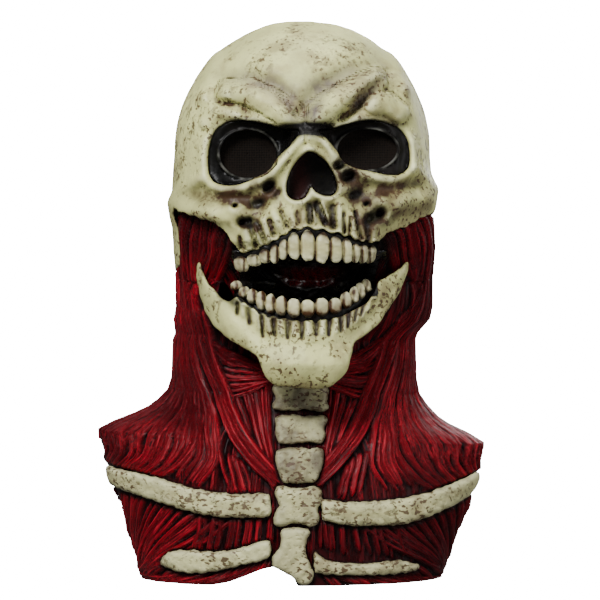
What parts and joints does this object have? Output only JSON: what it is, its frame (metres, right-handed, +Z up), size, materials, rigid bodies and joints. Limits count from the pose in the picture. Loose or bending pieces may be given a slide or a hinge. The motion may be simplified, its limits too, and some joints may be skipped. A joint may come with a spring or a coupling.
{
  "type": "latex halloween mask",
  "caption": "Full-head latex skull mask with perforated eye screens, a flexing lower jaw, inner foam pads, a muscle-textured neck and a shoulder bib with bone castings.",
  "frame": {"origin": "centre of the bounding box at the level of the bib's lower edge, on which the mask stands", "axes": "+Z up, -Y the way the face looks, +X the viewer's right when facing the mask"},
  "size_m": [0.306, 0.224, 0.445],
  "materials": {
    "bone_latex": "painted bone, satin, brown wash in the hollows",
    "black_latex": "black, glossy",
    "muscle_latex": "painted muscle red over maroon, semi-gloss",
    "tooth_latex": "ivory, satin, brown stain between the teeth",
    "foam_pad": "charcoal open-cell foam",
    "eye_mesh": "black perforated screen"
  },
  "bodies": {
    "mask": {"skull_shell": "bone_latex", "eye_socket_left": "black_latex", "eye_socket_right": "black_latex", "eye_screen_left": "eye_mesh", "eye_screen_right": "eye_mesh", "nose_lining": "muscle_latex", "upper_gum": "black_latex", "upper_teeth": "tooth_latex", "mouth_lining": "black_latex", "cheek_skin_left": "muscle_latex", "cheek_skin_right": "muscle_latex", "neck_skin": "muscle_latex", "chest_bib": "muscle_latex", "back_bib": "muscle_latex", "throat_bone_upper": "bone_latex", "throat_bone_middle": "bone_latex", "throat_bone_lower": "bone_latex", "breastbone_upper": "bone_latex", "breastbone_lower": "bone_latex", "collarbone_left": "bone_latex", "collarbone_right": "bone_latex", "rib_left": "bone_latex", "rib_right": "bone_latex", "under_chin_skin": "muscle_latex", "forehead_pad": "foam_pad", "crown_pad": "foam_pad", "temple_pad_left": "foam_pad", "temple_pad_right": "foam_pad", "nape_pad": "foam_pad"},
    "jaw": {"lower_jaw": "bone_latex", "lower_gum": "black_latex", "lower_teeth": "tooth_latex", "chin_cup": "foam_pad"}
  },
  "joints": [
    {"name": "jaw_open", "type": "hinge", "parent": "mask", "child": "jaw", "pos_m": [0, 0, 0.29], "axis": [1, 0, 0], "range_deg": [-8, 6], "stiffness_Nm_per_rad": 2, "deforming": ["mouth_lining", "cheek_skin_left", "cheek_skin_right", "under_chin_skin"]}
  ]
}
